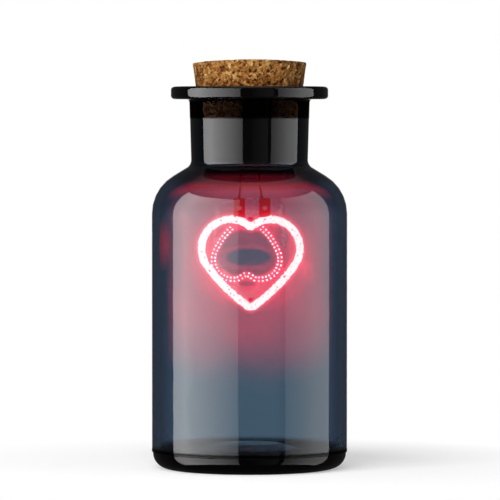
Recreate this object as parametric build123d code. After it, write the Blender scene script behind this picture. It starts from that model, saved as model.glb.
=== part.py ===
from build123d import *
import math
import os

# A bottle of smoked glass, closed by a cork that carries a heart of light. Millimetres.
# The origin is the centre of the base on the surface that it stands on, +Z is up, and the heart
# faces -Y. Everything but the glass hangs from the cork, which lifts out of the neck as one unit.

# Bottle
bottle_height = 160.0
body_diameter = 82.0
body_wall = 3.0
lip_diameter = 66.0
lip_thickness = 5.4
lip_rounding = 1.5
lip_fillet = 1.4
neck_top_diameter = 50.4
neck_bottom_diameter = 48.9
neck_length = 32.7
neck_fillet = 3.4
shoulder_slope = 31.0
shoulder_radius = 18.6
bore_bottom_diameter = 41.2
bore_fillet = 4.0
mouth_rounding = 0.8
base_step = 0.4
base_step_height = 7.1
base_rounding = 6.7
foot_ring_width = 5.0
foot_ring_rounding = 1.5
punt_depth = 5.0
floor_thickness = 7.0
floor_rounding = 2.5
punt_top_share = 0.5
punt_rounding = 9.0
hump_diameter = 50.0
hump_rise = 3.6

# Cork
cork_height = 23.1
cork_rim = 5.75
cork_draw_in = 2.85
cork_stand_out = 10.0
cork_crown = 1.2
cork_edge_rounding = 1.2
cork_floor = 6.6
cork_fit = 0.25

# Housing in the cork
housing_wall = 1.4
housing_room = 0.6
housing_fit = 0.2
lid_thickness = 2.8
board_room = 0.2
board_thickness = 1.0
board_standoff = 2.1
post_diameter = 3.0
post_count = 3
post_ring_share = 0.84
screw_angle = 59.5
screw_diameter = 2.0
screw_head_diameter = 3.6
screw_head_height = 1.2
screw_length = 7.0
screw_slot_width = 0.6
screw_slot_depth = 0.6
boss_diameter = 3.8
boss_room = 0.33
thread_fit = 0.05

# Coin cells and their contacts
cell_diameter = 20.0
cell_thickness = 3.2
cell_button_step = 1.3
cell_button_height = 0.4
cell_edge_rounding = 0.4
cell_offset = 4.5
cup_fit = 0.3
cup_wall = 1.0
cup_height = 7.4
cup_slot_width = 3.8
spring_height = 1.2
spring_length = 8.0
spring_width = 4.0
contact_thickness = 0.3
contact_width = 3.0
contact_gap = 0.05
contact_foot = 1.6
contact_finger = 1.6

# Battery cap, turned with a coin
cap_flange = 1.0
cap_flange_step = 1.6
cap_room = 0.4
cap_fit = 0.3
cap_underside_gap = 0.6
cap_lug_step = 1.4
cap_lug_width = 3.0
cap_lug_thickness = 0.8
cap_lug_clearance = 0.2
cap_unlock_angle = 45.0
seal_thickness = 0.6
seal_fit = 0.05
coin_slot_length = 16.0
coin_slot_width = 1.8
coin_slot_depth = 1.2

# Slide switch
switch_bridge = 2.3
switch_length = 8.5
switch_width = 3.6
switch_height = 3.5
switch_window_length = 4.4
switch_window_width = 2.0
switch_window_depth = 1.5
switch_travel = 2.0
switch_stem = 1.6
knob_length = 3.6
knob_width = 3.0
knob_flange_length = 7.6
knob_flange_width = 4.6
knob_flange_thickness = 0.8
knob_fit = 0.2
knob_rib_count = 4
knob_rib_depth = 0.3

# Parts under the board
chip_offset = 7.2
chip_length = 4.9
chip_width = 3.9
chip_height = 1.5
chip_leg_count = 4
chip_leg_reach = 1.0
chip_leg_width = 0.4
chip_leg_height = 0.5
resistor_length = 2.0
resistor_width = 1.25
resistor_height = 0.5
resistor_pitch = 2.6
resistor_count = 3

# Leads and terminals
lead_diameter = 1.0
lead_top_spacing = 3.4
lead_bottom_spacing = 9.6
lead_bottom_shift = 0.4
lead_drop = 33.1
lead_bend_drop = 8.5
lead_bend_share = 0.45
lead_fit = 0.05
grommet_diameter = 6.4
grommet_flange_diameter = 8.8
grommet_flange = 0.8
solder_diameter = 1.7
solder_tip_diameter = 1.2
solder_height = 0.9
terminal_width = 4.7
terminal_length = 8.6
terminal_thickness = 0.8
terminal_hole = 2.0
terminal_hole_drop = 4.5
terminal_fit = 0.05
terminal_foot_rise = 0.9
terminal_spacing = 10.6
terminal_shift = 1.1

# Heart
heart_tube_diameter = 3.5
heart_channel_diameter = 2.1
heart_shift = 0.5
heart_lobe_radius = 12.2
heart_lobe_offset = 8.4
heart_flank_radius = 70.0
heart_tip_drop = 24.9
heart_tip_rounding = 1.6
heart_notch_rounding = 1.7
strip_width = 1.6
strip_thickness = 0.4
chip_pitch = 1.6
heart_chip_size = 0.7
heart_chip_height = 0.35

# Loop with two rows of dots, behind the heart
loop_width = 2.4
loop_thickness = 0.4
loop_shift = -1.2
loop_gap = 0.1
loop_lobe_radius = 8.3
loop_lobe_offset = 5.7
loop_lobe_drop = 4.7
loop_side_radius = 30.0
loop_end_offset = 4.0
loop_end_rise = 15.2
loop_bump_width = 7.6
loop_bump_rise = 2.5
loop_bump_rounding = 2.4
loop_chip_size = 0.6
loop_chip_height = 0.3
loop_row_spacing = 1.45

# One overrun serves all cuts
overrun = 1.0

# Heights and radii that follow from the sizes above
cup_radius = cell_diameter / 2 + cup_fit + cup_wall
housing_diameter = 2 * (cell_offset + cup_radius + housing_room + housing_wall)
board_diameter = housing_diameter - 2 * (housing_wall + board_room)
screw_ring = housing_diameter / 2 - housing_wall - boss_room - boss_diameter / 2
cell_button_diameter = cell_diameter - 2 * cell_button_step
cap_plug_diameter = cell_diameter + 2 * cap_room
cap_diameter = cap_plug_diameter + 2 * cap_flange_step
cap_lug_reach = cap_plug_diameter / 2 + cap_lug_step
knob_slot_width = knob_width + 2 * knob_fit
switch_offset = cap_diameter / 2 + cap_fit - cell_offset + switch_bridge + knob_slot_width / 2
body_radius = body_diameter / 2
neck_bottom_height = bottle_height - neck_length
bore_slope = math.tan(math.radians(shoulder_slope))
cork_top = bottle_height + cork_stand_out
cork_bottom = cork_top - cork_height
cork_top_diameter = housing_diameter + 2 * (housing_fit + cork_rim)
cork_bottom_diameter = cork_top_diameter - 2 * cork_draw_in
cork_taper = cork_draw_in / cork_height
housing_bottom = cork_bottom + cork_floor
board_bottom = housing_bottom + housing_wall + board_standoff
board_top = board_bottom + board_thickness
lid_bottom = cork_top - lid_thickness
cell_bottom = board_top + spring_height
cell_top = cell_bottom + 2 * cell_thickness
cap_flange_bottom = cork_top - cap_flange
counterbore_floor = cap_flange_bottom - seal_thickness
cap_bottom = cell_top + cap_underside_gap
lead_exit = cork_bottom - grommet_flange
terminal_top_height = cork_bottom - lead_drop
terminal_bottom_height = terminal_top_height - terminal_length
terminal_hole_height = terminal_top_height - terminal_hole_drop
heart_lobe_height = terminal_bottom_height - terminal_foot_rise - heart_lobe_radius
heart_tip_height = heart_lobe_height - heart_tip_drop
loop_lobe_height = heart_lobe_height - loop_lobe_drop
loop_end_height = loop_lobe_height + loop_end_rise
loop_front = heart_tube_diameter / 2 + loop_gap
loop_face = loop_front + loop_chip_height
loop_back = loop_face + loop_thickness
sides = {"left": -1, "right": 1}
upright = (Align.CENTER, Align.CENTER, Align.MIN)


def cork_radius(height):
    """Radius of the cork's cone at a height."""
    return cork_bottom_diameter / 2 + cork_taper * (height - cork_bottom)


def turned(*corners):
    """Solid turned about Z from an outline whose corners are (radius, height, rounding)."""
    points = [(radius, height) for radius, height, rounding in corners]
    roundings = [rounding for radius, height, rounding in corners]
    outline = make_face(FilletPolyline(*points, radius=roundings, close=True))
    return revolve(Plane.XZ * outline, Axis.Z)


def disc(diameter, bottom, top, x=0, y=0):
    """Upright cylinder between two heights."""
    return Pos(x, y, bottom) * Cylinder(diameter / 2, top - bottom, align=upright)


def block(length_x, length_y, bottom, top, x=0, y=0):
    """Upright box between two heights."""
    return Pos(x, y, bottom) * Box(length_x, length_y, top - bottom, align=upright)


def arc(centre, radius, start, end):
    """Arc about a centre between two angles in radians."""
    points = [
        (centre[0] + radius * math.cos(angle), centre[1] + radius * math.sin(angle))
        for angle in (start, (start + end) / 2, end)
    ]
    return ThreePointArc(*points)


def lobe_with_flank(centre, radius, flank_radius, far_end, lobe_end):
    """A lobe's arc from an angle, run over without a kink into a wider arc that reaches a point."""
    reach = Vector(*centre) - Vector(*far_end)
    wider = flank_radius - radius
    cosine = (reach.length**2 + wider**2 - flank_radius**2) / (2 * wider * reach.length)
    turn = math.copysign(math.acos(cosine), -reach.Y)
    joint = math.atan2(reach.Y, reach.X) + turn
    flank_centre = (centre[0] - wider * math.cos(joint), centre[1] - wider * math.sin(joint))
    end = math.atan2(far_end[1] - flank_centre[1], far_end[0] - flank_centre[0])
    return arc(centre, radius, joint, lobe_end), arc(flank_centre, flank_radius, joint, end)


def heart_path():
    """Centreline of the heart tube, which starts at its rounded tip's right end."""
    notch_rise = math.sqrt(heart_lobe_radius**2 - heart_lobe_offset**2)
    right = lobe_with_flank(
        (heart_lobe_offset, heart_lobe_height),
        heart_lobe_radius,
        heart_flank_radius,
        (0, heart_tip_height),
        math.atan2(notch_rise, -heart_lobe_offset),
    )
    left = [mirror(edge, Plane.YZ) for edge in right]
    face = make_face([*right, *left]).face()
    for height, rounding in (
        (heart_tip_height, heart_tip_rounding),
        (heart_lobe_height + notch_rise, heart_notch_rounding),
    ):
        corner = face.vertices().sort_by_distance((0, height, 0))[0]
        face = face.fillet_2d(rounding, [corner])
    edges = (Pos(heart_shift, 0, 0) * Plane.XZ * face).outer_wire().order_edges()
    tip = edges.sort_by_distance((heart_shift, 0, heart_tip_height))[0]
    start = list(edges).index(tip) + 1
    return Wire([*edges[start:], *edges[:start]])


def loop_path():
    """Centreline of the dotted loop: an upside-down heart, open at the top, with a small bump."""
    bottom = loop_lobe_height - loop_lobe_radius
    bump_start = loop_bump_width / 2
    lobe, side = lobe_with_flank(
        (loop_lobe_offset, loop_lobe_height),
        loop_lobe_radius,
        loop_side_radius,
        (loop_end_offset, loop_end_height),
        -math.pi / 2,
    )
    floor = FilletPolyline(
        (loop_lobe_offset, bottom),
        (bump_start, bottom),
        (0, bottom + loop_bump_rise),
        (-bump_start, bottom),
        (-loop_lobe_offset, bottom),
        radius=loop_bump_rounding,
    )
    edges = [lobe, side, mirror(lobe, Plane.YZ), mirror(side, Plane.YZ), *floor.edges()]
    behind = Pos(loop_shift, (loop_face + loop_back) / 2, 0) * Plane.XZ.location
    return Wire([(behind * edge).edge() for edge in edges])


def across(path, share=0):
    """Plane square to a path, its X along depth and its Y in the plane of the path."""
    return Plane(path.position_at(share), x_dir=(0, 1, 0), z_dir=path.tangent_at(share))


def rows_of_chips(path, rows, depths, size, height, bare_end=0):
    """Small blocks along a path, in rows, at the depths of the strip's faces, with its ends bare."""
    count = round((path.length - 2 * bare_end) / chip_pitch)
    chips = []
    for index in range(count):
        share = (bare_end + (index + 0.5) * (path.length - 2 * bare_end) / count) / path.length
        place = path.position_at(share)
        for row in rows:
            for depth in depths:
                seat = Plane(place, x_dir=path.tangent_at(share), z_dir=(0, -1, 0))
                chips.append(seat * Pos(0, row, depth) * Box(size, size, height))
    return Compound(children=chips)


def terminal_place(side):
    """How far a terminal's middle is to the side: the pair hangs a little off the heart's middle."""
    return side * terminal_spacing / 2 + terminal_shift


def terminal_blank(side, fit=0):
    """A terminal's plate without its hole, grown by a fit."""
    return block(
        terminal_width + 2 * fit,
        terminal_thickness + 2 * fit,
        terminal_bottom_height - fit,
        terminal_top_height,
        x=terminal_place(side),
    )


def lead_path(side):
    """Straight down through the cork, then one gentle bend outwards to the terminal."""
    top = side * lead_top_spacing / 2
    bottom = side * lead_bottom_spacing / 2 + lead_bottom_shift
    bend_height = lead_exit - lead_bend_drop
    turn = math.atan2(abs(bottom - top), bend_height - terminal_top_height)
    radius = lead_bend_share * lead_bend_drop / math.tan(turn / 2)
    end_height = terminal_top_height + lead_diameter / 2 * math.sin(turn)
    points = ((top, board_bottom), (top, bend_height), (bottom, end_height))
    return (Plane.XZ * FilletPolyline(*points, radius=[radius])).wire(), radius


# Glass


def glass_bottle():
    """One piece of glass: foot ring, step, body, shoulder, neck, lip, and the same hollow inside."""
    step_radius = body_radius - base_step
    neck_drop = (body_radius - neck_bottom_diameter / 2) * bore_slope
    wall_shift = body_wall / math.cos(math.radians(shoulder_slope))
    inner_radius = body_radius - body_wall
    line_height = neck_bottom_height + neck_bottom_diameter / 2 * bore_slope - wall_shift
    bore_radius = bore_bottom_diameter / 2
    lip_bottom = bottle_height - lip_thickness
    foot_inner = step_radius - base_rounding - foot_ring_width
    punt_flat = foot_inner * punt_top_share
    hump_radius = hump_diameter / 2
    hump_top = floor_thickness + hump_rise
    return turned(
        (0, punt_depth, 0),
        (punt_flat, punt_depth, punt_rounding),
        (foot_inner, 0, foot_ring_rounding),
        (step_radius, 0, base_rounding),
        (step_radius, base_step_height, 0),
        (body_radius, base_step_height, 0),
        (body_radius, neck_bottom_height - neck_drop, shoulder_radius),
        (neck_bottom_diameter / 2, neck_bottom_height, neck_fillet),
        (neck_top_diameter / 2, lip_bottom, lip_fillet),
        (lip_diameter / 2, lip_bottom, lip_rounding),
        (lip_diameter / 2, bottle_height, lip_rounding),
        (cork_radius(bottle_height) + cork_fit, bottle_height, mouth_rounding),
        (cork_radius(cork_bottom) + cork_fit, cork_bottom, 0),
        (bore_radius, line_height - bore_radius * bore_slope, bore_fillet),
        (inner_radius, line_height - inner_radius * bore_slope, shoulder_radius - body_wall),
        (inner_radius, floor_thickness, floor_rounding),
        (hump_radius, floor_thickness, punt_rounding),
        (hump_radius * punt_top_share, hump_top, punt_rounding),
        (0, hump_top, 0),
    )


# Cork


def cork_stopper():
    """Tapered cork with a crowned rim, a pocket for the housing and a hole for the grommet."""
    pocket_radius = housing_diameter / 2 + housing_fit
    hole_radius = grommet_diameter / 2 + lead_fit
    return turned(
        (hole_radius, cork_bottom, 0),
        (cork_bottom_diameter / 2, cork_bottom, cork_edge_rounding),
        (cork_top_diameter / 2, cork_top, cork_edge_rounding),
        ((cork_top_diameter / 2 + pocket_radius) / 2, cork_top + cork_crown, cork_crown),
        (pocket_radius, cork_top + cork_crown / 2, 0),
        (pocket_radius, housing_bottom, 0),
        (hole_radius, housing_bottom, 0),
    )


def wire_grommet():
    """Rubber plug through the cork's floor and the housing's floor, with two lead holes."""
    top = housing_bottom + housing_wall
    grommet = disc(grommet_diameter, cork_bottom, top)
    grommet += disc(grommet_flange_diameter, lead_exit, cork_bottom)
    for side in sides.values():
        grommet -= disc(
            lead_diameter + 2 * lead_fit,
            lead_exit - overrun,
            top + overrun,
            x=side * lead_top_spacing / 2,
        )
    return grommet


# Housing


def screw_places():
    """Centres of the two screws."""
    angle = math.radians(screw_angle)
    return [(screw_ring * math.cos(angle), side * screw_ring * math.sin(angle)) for side in sides.values()]


def post_places():
    """Centres of the posts that the board rests on."""
    ring = board_diameter / 2 * post_ring_share
    angles = [math.tau * index / post_count for index in range(post_count)]
    return [(ring * math.cos(angle), ring * math.sin(angle)) for angle in angles]


def module_case():
    """Cup that stands in the cork's pocket, with posts for the board and bosses for the screws."""
    floor_top = housing_bottom + housing_wall
    case = disc(housing_diameter, housing_bottom, lid_bottom)
    case -= disc(housing_diameter - 2 * housing_wall, floor_top, lid_bottom + overrun)
    case -= disc(grommet_diameter + 2 * lead_fit, housing_bottom - overrun, floor_top + overrun)
    for x, y in post_places():
        case += disc(post_diameter, floor_top, board_bottom, x, y)
    for x, y in screw_places():
        case += disc(boss_diameter, floor_top, lid_bottom, x, y)
        case -= disc(
            screw_diameter + 2 * thread_fit,
            cork_top - screw_length - screw_diameter,
            lid_bottom + overrun,
            x,
            y,
        )
    return case


def module_lid():
    """Round lid with the cap's counterbore and lug notches, the knob's slot and two screw seats."""
    lid = disc(housing_diameter, lid_bottom, cork_top)
    lid -= disc(cap_plug_diameter + 2 * cap_fit, lid_bottom - overrun, cork_top, -cell_offset)
    lid -= disc(cap_diameter + 2 * cap_fit, counterbore_floor, cork_top + overrun, -cell_offset)
    notch = block(
        cap_lug_width + 2 * cap_fit,
        2 * (cap_lug_reach + cap_fit),
        lid_bottom - overrun,
        counterbore_floor + overrun,
    )
    lid -= Pos(-cell_offset, 0, 0) * Rot(0, 0, cap_unlock_angle) * notch
    slot_length = knob_length + switch_travel + 2 * knob_fit
    lid -= block(
        knob_slot_width,
        slot_length,
        lid_bottom - overrun,
        cork_top + overrun,
        switch_offset,
    )
    for x, y in screw_places():
        lid -= disc(screw_diameter + 2 * thread_fit, lid_bottom - overrun, cork_top, x, y)
        lid -= disc(
            screw_head_diameter + 2 * thread_fit,
            cork_top - screw_head_height,
            cork_top + overrun,
            x,
            y,
        )
    return lid


def lid_screws():
    """Two pan-head screws, cross-slotted and sunk flush."""
    screws = []
    for x, y in screw_places():
        screw = disc(screw_head_diameter, cork_top - screw_head_height, cork_top, x, y)
        screw += disc(screw_diameter, cork_top - screw_length, cork_top - screw_head_height, x, y)
        slot_length = screw_head_diameter - 2 * screw_slot_width
        slot_floor = cork_top - screw_slot_depth
        screw -= block(slot_length, screw_slot_width, slot_floor, cork_top + overrun, x, y)
        screw -= block(screw_slot_width, slot_length, slot_floor, cork_top + overrun, x, y)
        screws.append(screw)
    return Compound(children=screws)


# Electrics in the housing


def circuit_board():
    """Round board, notched around the two screw bosses."""
    board = disc(board_diameter, board_bottom, board_top)
    for x, y in screw_places():
        board -= disc(
            boss_diameter + 2 * housing_fit,
            board_bottom - overrun,
            board_top + overrun,
            x,
            y,
        )
    return board


def driver_chip():
    """Eight-legged chip under the board."""
    body_top = board_bottom - chip_leg_height / 2
    chip = block(chip_width, chip_length, body_top - chip_height, body_top, -chip_offset)
    for index in range(chip_leg_count):
        y = (index + 0.5 - chip_leg_count / 2) * chip_length / chip_leg_count
        chip += block(
            chip_width + 2 * chip_leg_reach,
            chip_leg_width,
            board_bottom - chip_leg_height,
            board_bottom,
            -chip_offset,
            y,
        )
    return chip


def resistors():
    """A short row of surface-mount resistors under the board."""
    placed = []
    for index in range(resistor_count):
        y = (index - (resistor_count - 1) / 2) * resistor_pitch
        placed.append(
            block(
                resistor_length,
                resistor_width,
                board_bottom - resistor_height,
                board_bottom,
                switch_offset - switch_width,
                y,
            )
        )
    return Compound(children=placed)


def cell_cup():
    """Ring that holds the two cells, slotted for the positive contact."""
    inner = cell_diameter + 2 * cup_fit
    cup = disc(2 * cup_radius, board_top, board_top + cup_height, -cell_offset)
    cup -= disc(inner, board_top - overrun, board_top + cup_height + overrun, -cell_offset)
    slot_centre = cell_diameter / 2 + cup_fit + cup_wall / 2 - cell_offset
    cup -= block(
        2 * cup_wall,
        cup_slot_width,
        board_top - overrun,
        board_top + cup_height + overrun,
        slot_centre,
    )
    return cup


def coin_cell(bottom):
    """Coin cell, its can over a slightly smaller button."""
    button_top = bottom + cell_button_height
    can = turned(
        (0, button_top, 0),
        (cell_diameter / 2, button_top, cell_edge_rounding),
        (cell_diameter / 2, bottom + cell_thickness, cell_edge_rounding),
        (0, bottom + cell_thickness, 0),
    )
    return Pos(-cell_offset, 0, 0) * (can + disc(cell_button_diameter, bottom, button_top))


def negative_spring():
    """Arched leaf on the board that presses on the lower cell."""
    half = spring_length / 2
    rise = spring_height - contact_thickness
    under = ThreePointArc((-half, 0), (0, rise), (half, 0))
    over = ThreePointArc((-half, contact_thickness), (0, spring_height), (half, contact_thickness))
    ends = [Line((end, 0), (end, contact_thickness)) for end in (-half, half)]
    profile = make_face([under, over, *ends])
    leaf = extrude(Plane.XZ * profile, spring_width / 2, both=True)
    return Pos(-cell_offset, 0, board_top) * leaf


def positive_contact():
    """Riser beside the cells with a foot on the board and a finger on the upper cell's can."""
    cup_outer = cell_diameter / 2 + cup_fit
    riser_inner = cup_outer + cup_wall / 2
    riser_outer = riser_inner + contact_thickness
    middle = cell_bottom + 3 * cell_thickness / 2
    finger_inner = cell_diameter / 2 + contact_gap
    parts = (
        (riser_inner, riser_outer, board_top, middle + contact_finger / 2),
        (riser_inner, riser_outer + contact_foot, board_top, board_top + contact_thickness),
        (finger_inner, riser_outer, middle - contact_finger / 2, middle + contact_finger / 2),
    )
    contact = Part()
    for inner, outer, bottom, top in parts:
        contact += block(outer - inner, contact_width, bottom, top, (inner + outer) / 2 - cell_offset)
    return contact


# Battery cap


def battery_cap():
    """Flanged cap with a coin slot and two lugs that lock under the lid."""
    cap = disc(cap_diameter, cap_flange_bottom, cork_top)
    cap += disc(cap_plug_diameter, cap_bottom, cap_flange_bottom)
    lug_top = lid_bottom - cap_lug_clearance
    lugs = block(cap_lug_width, 2 * cap_lug_reach, lug_top - cap_lug_thickness, lug_top)
    cap += lugs & disc(2 * cap_lug_reach, cap_bottom - cap_lug_thickness, cap_flange_bottom)
    cap -= block(coin_slot_length, coin_slot_width, cork_top - coin_slot_depth, cork_top + overrun)
    return Pos(-cell_offset, 0, 0) * cap


def cap_seal():
    """Flat rubber ring around the plug, under the flange."""
    ring = disc(cap_diameter, counterbore_floor, cap_flange_bottom, -cell_offset)
    return ring - disc(
        cap_plug_diameter + 2 * seal_fit,
        counterbore_floor - overrun,
        cap_flange_bottom + overrun,
        -cell_offset,
    )


# Switch


def switch_body():
    """Slide switch on the board, open at the top for the knob's stem."""
    top = board_top + switch_height
    body = block(switch_width, switch_length, board_top, top, switch_offset)
    return body - block(
        switch_window_width,
        switch_window_length,
        top - switch_window_depth,
        top + overrun,
        switch_offset,
    )


def switch_knob():
    """Ribbed knob at its ON end, with a flange under the lid and a stem into the switch."""
    flange_top = lid_bottom - knob_fit
    stem_bottom = board_top + switch_height - switch_window_depth / 2
    knob = block(knob_width, knob_length, flange_top, cork_top)
    knob += block(knob_flange_width, knob_flange_length, flange_top - knob_flange_thickness, flange_top)
    knob += block(switch_stem, switch_stem, stem_bottom, flange_top)
    pitch = knob_length / knob_rib_count
    for index in range(knob_rib_count - 1):
        y = (index + 1) * pitch - knob_length / 2
        knob -= block(knob_width + overrun, pitch / 2, cork_top - knob_rib_depth, cork_top + overrun, y=y)
    return Pos(switch_offset, switch_travel / 2, 0) * knob


# Leads, terminals and solder


def lead_wire(side):
    """Stiff insulated wire from the board to a terminal."""
    path, radius = lead_path(side)
    lead = sweep(across(path) * Circle(lead_diameter / 2), path=path)
    section_times_length = math.pi * lead_diameter**2 / 4 * path.length
    print("lead", round(path.length, 2), "bend radius", round(radius, 1))
    print("volume over section times length", round(lead.volume / section_times_length, 5))
    return lead


def terminal(side):
    """Flat tab with a hole, standing in the heart tube."""
    hole = Cylinder(terminal_hole / 2, terminal_thickness + overrun, rotation=(90, 0, 0))
    return terminal_blank(side) - Pos(terminal_place(side), 0, terminal_hole_height) * hole


def solder_joints():
    """Cones of solder at both ends of both leads."""
    joints = []
    between = block(body_diameter, body_diameter, terminal_top_height, board_bottom)
    for side in sides.values():
        path, radius = lead_path(side)
        for end, direction in ((0, 1), (1, -1)):
            seat = Plane(path.position_at(end), z_dir=direction * path.tangent_at(end))
            cone = seat * Cone(
                solder_diameter / 2,
                solder_tip_diameter / 2,
                solder_height,
                align=upright,
            )
            cone -= seat * Cylinder(lead_diameter / 2 + lead_fit, 2 * solder_height + overrun)
            joints.append(cone & between)
    return Compound(children=joints)


# Heart and loop


def heart_tube(path):
    """Hollow silicone tube, slotted for the feet of the two terminals."""
    tube = sweep(across(path) * Circle(heart_tube_diameter / 2), path=path)
    tube -= sweep(across(path) * Circle(heart_channel_diameter / 2), path=path)
    for side in sides.values():
        tube -= terminal_blank(side, terminal_fit)
    return tube


def heart_strip(path):
    """Flexible strip along the tube's channel."""
    return sweep(across(path) * Rectangle(strip_thickness, strip_width), path=path)


def heart_leds(path):
    """Chips on both faces of the heart's strip."""
    depth = (strip_thickness + heart_chip_height) / 2
    return rows_of_chips(path, (0,), (-depth, depth), heart_chip_size, heart_chip_height)


def loop_strip(path):
    """Flat strip behind the heart, thickened at its ends where it meets the tube's back."""
    strip = sweep(across(path) * Rectangle(loop_thickness, loop_width), path=path)
    pad_front = loop_face - loop_chip_height - loop_gap / 2
    for end in (0, 1):
        place = path.position_at(end)
        pad = Plane(place, x_dir=path.tangent_at(end), z_dir=(0, 1, 0)) * Box(
            loop_width,
            loop_width,
            loop_back - pad_front,
        )
        inwards = path.tangent_at(end) * (loop_width / 2 * (1 - 2 * end))
        shift = (loop_back + pad_front) / 2 - place.Y
        strip += Pos(inwards.X, shift, inwards.Z) * pad
    return strip


def loop_leds(path):
    """Two rows of chips on the loop's front face."""
    depth = (loop_thickness + loop_chip_height) / 2
    rows = (-loop_row_spacing / 2, loop_row_spacing / 2)
    return rows_of_chips(path, rows, (depth,), loop_chip_size, loop_chip_height, bare_end=loop_width)


heart = heart_path()
loop = loop_path()
print("heart tube length", round(heart.length, 1), "loop length", round(loop.length, 1))

nodes = {
    "glass_bottle": glass_bottle(),
    "cork_stopper": cork_stopper(),
    "wire_grommet": wire_grommet(),
    "module_case": module_case(),
    "module_lid": module_lid(),
    "lid_screws": lid_screws(),
    "circuit_board": circuit_board(),
    "driver_chip": driver_chip(),
    "resistors": resistors(),
    "cell_cup": cell_cup(),
    "coin_cell_lower": coin_cell(cell_bottom),
    "coin_cell_upper": coin_cell(cell_bottom + cell_thickness),
    "negative_spring": negative_spring(),
    "positive_contact": positive_contact(),
    "battery_cap": battery_cap(),
    "cap_seal": cap_seal(),
    "switch_body": switch_body(),
    "switch_knob": switch_knob(),
    "solder_joints": solder_joints(),
    "heart_tube": heart_tube(heart),
    "heart_strip": heart_strip(heart),
    "heart_leds": heart_leds(heart),
    "loop_strip": loop_strip(loop),
    "loop_leds": loop_leds(loop),
}
for name, side in sides.items():
    nodes["lead_wire_" + name] = lead_wire(side)
    nodes["terminal_" + name] = terminal(side)

os.makedirs("parts", exist_ok=True)
for name, solid in nodes.items():
    export_step(solid, f"parts/{name}.step")
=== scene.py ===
# %% [markdown]
# A cork bottle light: a heart of glowing tube that hangs from a cork inside a bottle of smoked glass.
# The CAD model is the fixed frame, in metres, and every piece made here is fitted to it. The glass,
# the cork and the lit parts get finer meshes of their own. The rest keeps its CAD mesh and only gets
# a finish.

# %% Load the frame
import math

import bmesh
import bpy
from mathutils import Matrix, Vector, noise


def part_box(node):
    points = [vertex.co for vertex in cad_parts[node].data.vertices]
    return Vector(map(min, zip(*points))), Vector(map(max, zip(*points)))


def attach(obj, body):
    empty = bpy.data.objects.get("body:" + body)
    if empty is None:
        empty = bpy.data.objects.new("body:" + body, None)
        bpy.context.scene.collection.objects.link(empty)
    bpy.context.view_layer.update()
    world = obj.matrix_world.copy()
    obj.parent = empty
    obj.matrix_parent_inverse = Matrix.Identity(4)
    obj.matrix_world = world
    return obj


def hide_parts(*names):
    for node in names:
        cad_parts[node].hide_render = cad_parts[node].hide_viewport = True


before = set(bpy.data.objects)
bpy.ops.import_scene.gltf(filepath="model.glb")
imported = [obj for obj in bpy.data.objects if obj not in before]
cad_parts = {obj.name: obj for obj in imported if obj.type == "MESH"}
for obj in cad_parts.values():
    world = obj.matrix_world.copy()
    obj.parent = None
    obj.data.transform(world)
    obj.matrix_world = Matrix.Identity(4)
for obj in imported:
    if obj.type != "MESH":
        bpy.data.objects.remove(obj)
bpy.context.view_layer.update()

scene = bpy.context.scene

# %% [markdown]
# The photograph was taken from well away, so the bottle's sides stay upright in it. A short lens close
# by could fill the frame as well, but it would swell the lip and hide the shoulder. So the camera
# stands 1.75 m away with a long lens, a little above the middle of the bottle, and looks down by two
# degrees, as the drop of the base's front edge in the photograph says.

# %% Camera
EYE_DISTANCE = 1.75
EYE_HEIGHT = 0.151
AIM_HEIGHT = 0.0915
AIM_SIDE = 0.0002
SEEN_HEIGHT = 0.2095
SENSOR = 36.0


def stand(holder, place, target):
    """A camera or a lamp is put in its place, aimed at a target, and joins the scene."""
    holder.location = place
    holder.rotation_euler = (target - place).to_track_quat("-Z", "Y").to_euler()
    scene.collection.objects.link(holder)


aim = Vector((AIM_SIDE, 0, AIM_HEIGHT))
eye = Vector((AIM_SIDE, -EYE_DISTANCE, EYE_HEIGHT))
lens = bpy.data.cameras.new("camera")
lens.sensor_width = SENSOR
lens.lens = SENSOR * (aim - eye).length / SEEN_HEIGHT
camera = bpy.data.objects.new("camera", lens)
stand(camera, eye, aim)
scene.camera = camera
scene.view_settings.view_transform = "Standard"
print("lens", round(lens.lens, 1))

# %% [markdown]
# The world and every material are small trees of nodes. They could be put together by hand in the
# editor, but a few helpers keep the trees readable here. The first adds a node, sets its sockets by
# name, and joins a socket where it is given another node's output. The others wrap the nodes that
# this script uses most, and hand back their output.

# %% Node helpers


def add_node(tree, kind, settings=None, **sockets):
    """A node of a kind. Sockets are set by name, with underscores for spaces, or by number as s0, s1."""
    node = tree.nodes.new(kind)
    for key, value in (settings or {}).items():
        setattr(node, key, value)
    for key, value in sockets.items():
        index = key[1:]
        socket = node.inputs[int(index) if index.isdigit() else key.replace("_", " ")]
        if isinstance(value, bpy.types.NodeSocket):
            tree.links.new(value, socket)
        else:
            socket.default_value = value
    return node


def math_node(tree, operation, first, second=0.0, third=0.0):
    """One sum on numbers or sockets."""
    node = add_node(tree, "ShaderNodeMath", {"operation": operation}, s0=first, s1=second, s2=third)
    return node.outputs[0]


def product(tree, *factors):
    """All the factors multiplied."""
    result = factors[0]
    for factor in factors[1:]:
        result = math_node(tree, "MULTIPLY", result, factor)
    return result


def stretched(tree, value, start, end, low=0.0, high=1.0):
    """What lies between start and end is stretched to low and high, and held there beyond them."""
    return add_node(
        tree, "ShaderNodeMapRange", Value=value, From_Min=start, From_Max=end, To_Min=low, To_Max=high
    ).outputs["Result"]


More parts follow.
